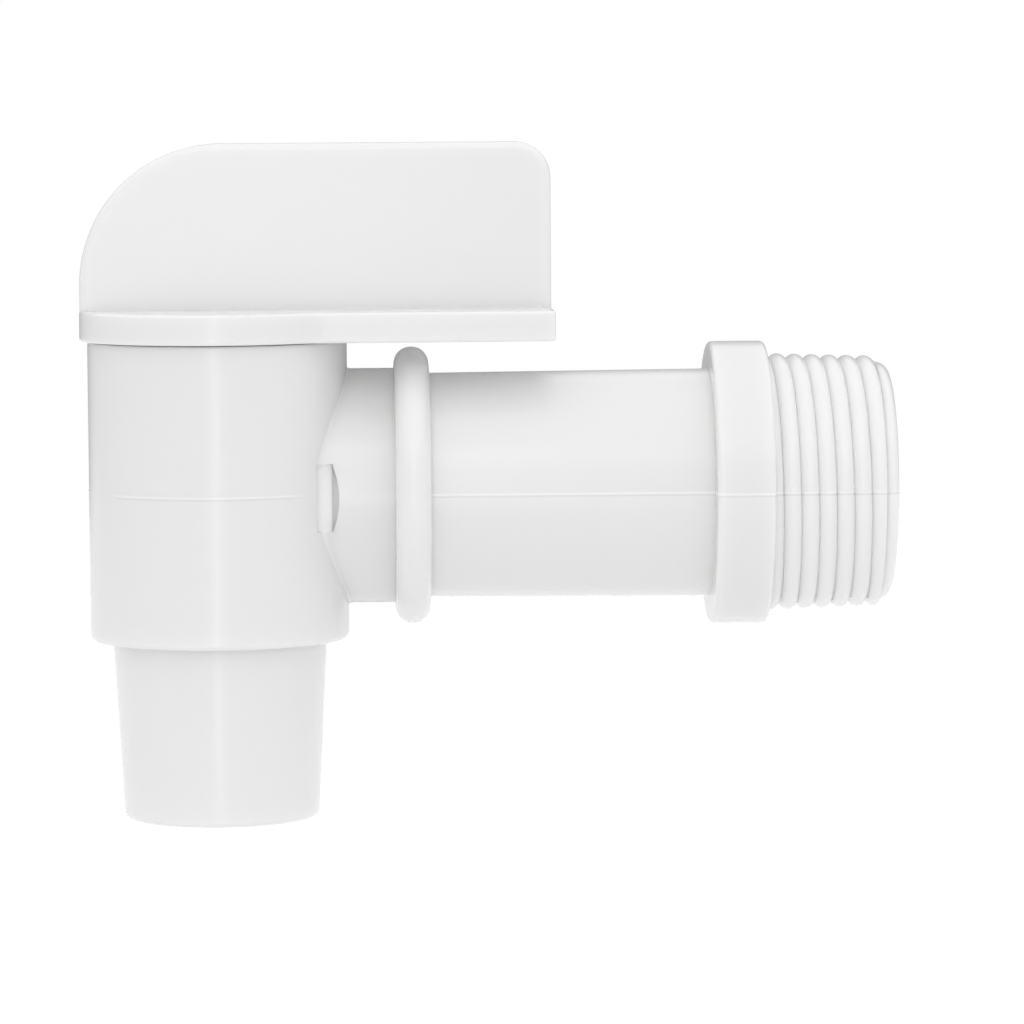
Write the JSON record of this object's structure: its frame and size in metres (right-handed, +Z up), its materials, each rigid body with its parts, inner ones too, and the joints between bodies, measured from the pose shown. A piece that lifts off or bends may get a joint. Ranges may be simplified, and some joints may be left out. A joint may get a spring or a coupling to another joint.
{
  "type": "drum faucet",
  "caption": "Moulded drum faucet with tapered pipe-thread inlet, hollow quarter-turn plug with blade handle, and tapered downward spout.",
  "frame": {"origin": "on the inlet axis, at the drum-side shoulder of the collar where the pipe thread begins", "axes": "+X along the inlet towards the drum, +Z up along the valve axis, +Y away from the side shown"},
  "size_m": [0.084, 0.0294, 0.07],
  "materials": {
    "body_plastic": "natural white polyethylene, satin and slightly translucent, with a fine mould seam along the inlet",
    "handle_plastic": "opaque white polyethylene, smooth satin",
    "seal_rubber": "black rubber, dull"
  },
  "bodies": {
    "body": {"body": "body_plastic"},
    "handle": {"handle": "handle_plastic", "plug_seal": "seal_rubber"}
  },
  "joints": [
    {"name": "handle_turn", "type": "hinge", "parent": "body", "child": "handle", "pos_m": [-0.0569, 0, 0.0153], "axis": [0, 0, 1], "range_deg": [-90, 0]}
  ]
}
